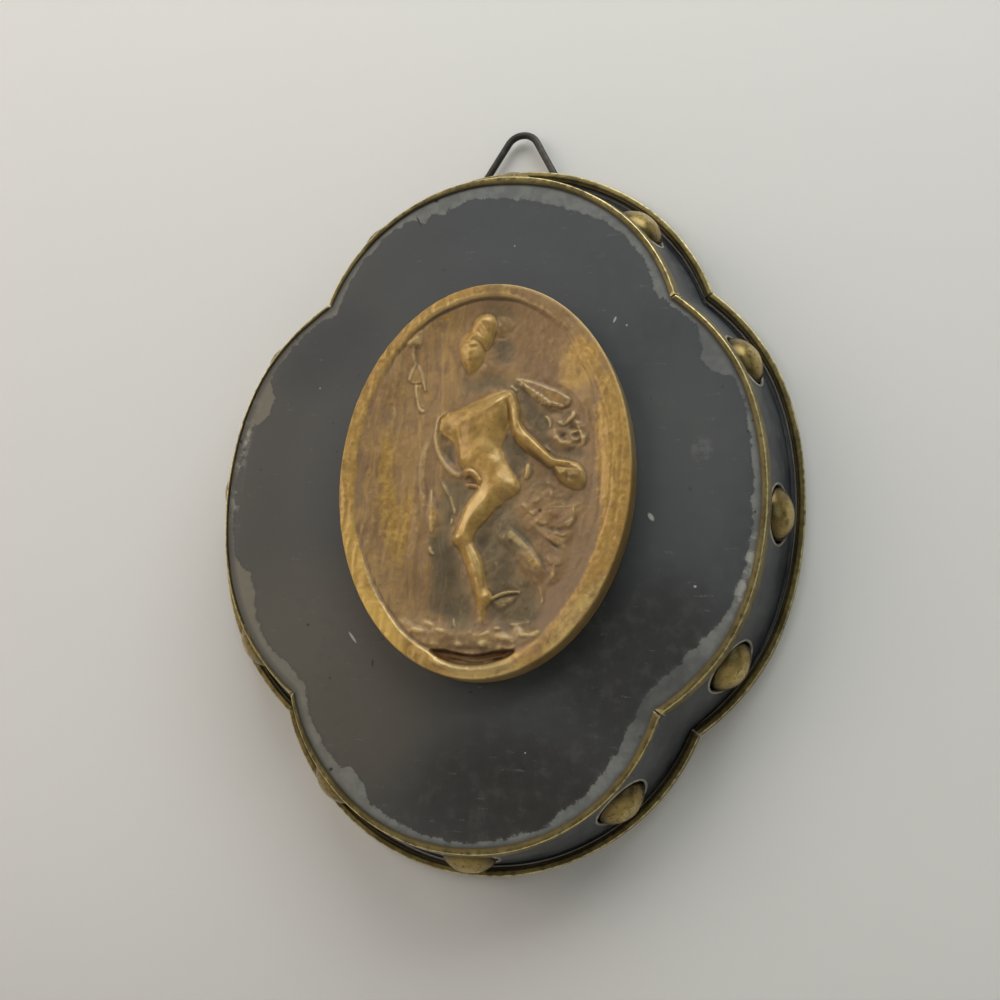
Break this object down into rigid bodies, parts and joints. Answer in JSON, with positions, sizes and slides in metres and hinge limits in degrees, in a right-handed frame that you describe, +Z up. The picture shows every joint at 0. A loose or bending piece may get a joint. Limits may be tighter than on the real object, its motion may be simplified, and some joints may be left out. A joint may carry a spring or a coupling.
{
  "type": "wall medallion plaque",
  "caption": "Four-lobed shallow metal wall plaque with brass edges and studded sides, carrying an oval bronzed plaster relief of a standing figure, hung by a wire loop.",
  "frame": {"origin": "the middle of the flat back, where the plaque meets the wall", "axes": "+X to the viewer's right, +Z up, the wall on the +Y side and the relief facing -Y"},
  "size_m": [0.1278, 0.0222, 0.1647],
  "materials": {
    "bronzed_plaster": "cast plaster with a rubbed gold-bronze coating over a brown ground",
    "patinated_zinc": "thin grey sheet metal with a dark dull patina, worn pale along the edges",
    "aged_brass": "tarnished brass strip and pressed studs, brighter on the edges",
    "black_iron": "blackened iron wire"
  },
  "bodies": {
    "root": {"medallion": "bronzed_plaster", "front_plate": "patinated_zinc", "side_band": "patinated_zinc", "back_plate": "patinated_zinc", "front_rim_top": "aged_brass", "front_rim_right": "aged_brass", "front_rim_bottom": "aged_brass", "front_rim_left": "aged_brass", "rear_rim_top": "aged_brass", "rear_rim_right": "aged_brass", "rear_rim_bottom": "aged_brass", "rear_rim_left": "aged_brass", "stud_01": "aged_brass", "stud_02": "aged_brass", "stud_03": "aged_brass", "stud_04": "aged_brass", "stud_05": "aged_brass", "stud_06": "aged_brass", "stud_07": "aged_brass", "stud_08": "aged_brass", "stud_09": "aged_brass", "stud_10": "aged_brass", "stud_11": "aged_brass", "stud_12": "aged_brass", "hanging_wire": "black_iron"}
  },
  "joints": []
}
